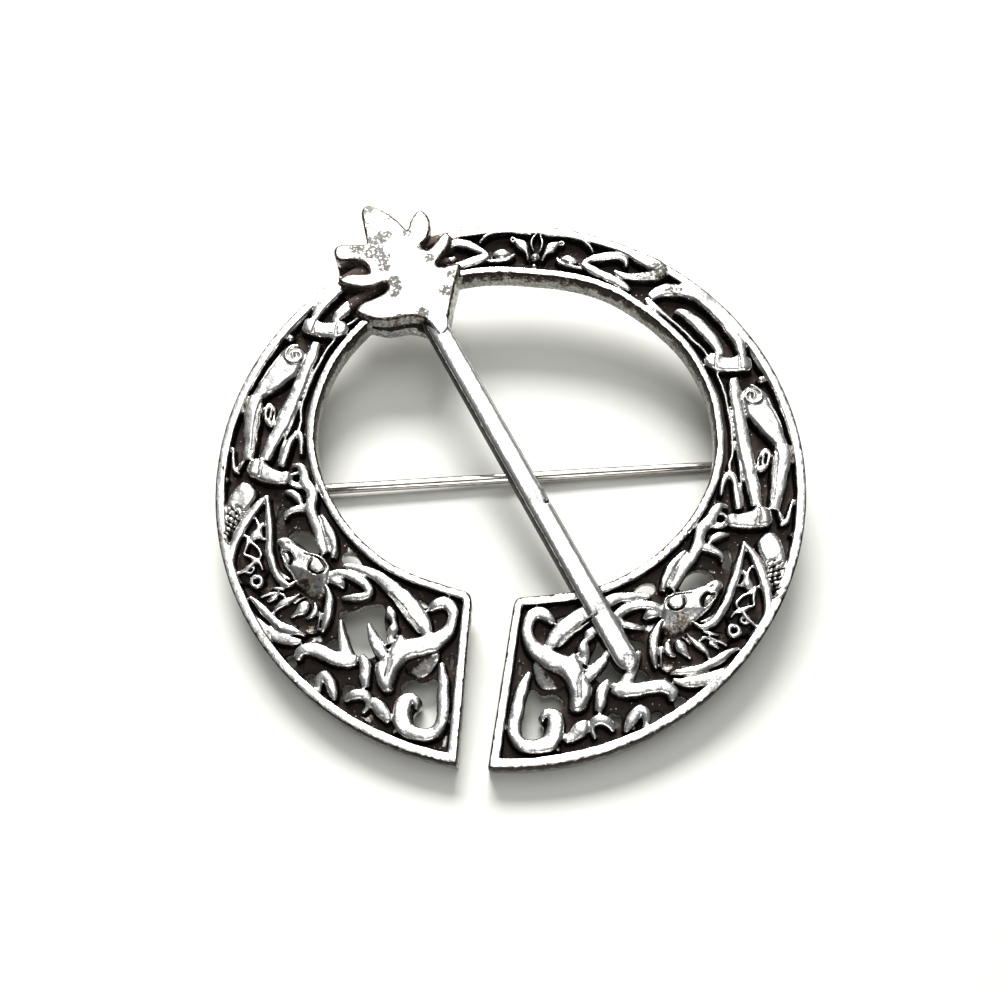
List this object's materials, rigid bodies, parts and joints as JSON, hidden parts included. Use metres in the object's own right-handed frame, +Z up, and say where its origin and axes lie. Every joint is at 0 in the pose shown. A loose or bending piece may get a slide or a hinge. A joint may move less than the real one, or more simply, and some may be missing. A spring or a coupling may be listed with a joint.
{
  "type": "penannular brooch",
  "caption": "Open-ring brooch with pierced, raised beast interlace, a palmette-headed front shank across the ring, and a hinged steel pin with a catch behind it.",
  "frame": {"origin": "on the surface the brooch lies on, below the middle of its bounding box", "axes": "+Z up, out of the brooch's decorated front; +Y towards the ring's closed top, away from the gap; +X to the right as seen from the front. The ring leans 6.5 degrees about X, as it lies on its hinge, its catch and the ends of its terminals."},
  "size_m": [0.05, 0.0508, 0.0085],
  "materials": {
    "antique_silver": "antiqued: bright on the raised metal, nearly black in the recesses",
    "plated_finding": "dull nickel plate",
    "pin_steel": "bright drawn wire"
  },
  "bodies": {
    "brooch": {"brooch_casting": "antique_silver", "hinge_joint": "plated_finding", "hinge_rivet": "plated_finding", "pin_catch": "plated_finding"},
    "pin": {"pin_stem": "pin_steel"}
  },
  "joints": [
    {"name": "pin_open", "type": "hinge", "parent": "brooch", "child": "pin", "pos_m": [-0.0204, -0.00302, 0.00094], "axis": [-0.1808, 0.9771, 0.1122], "range_deg": [0, 80]}
  ]
}
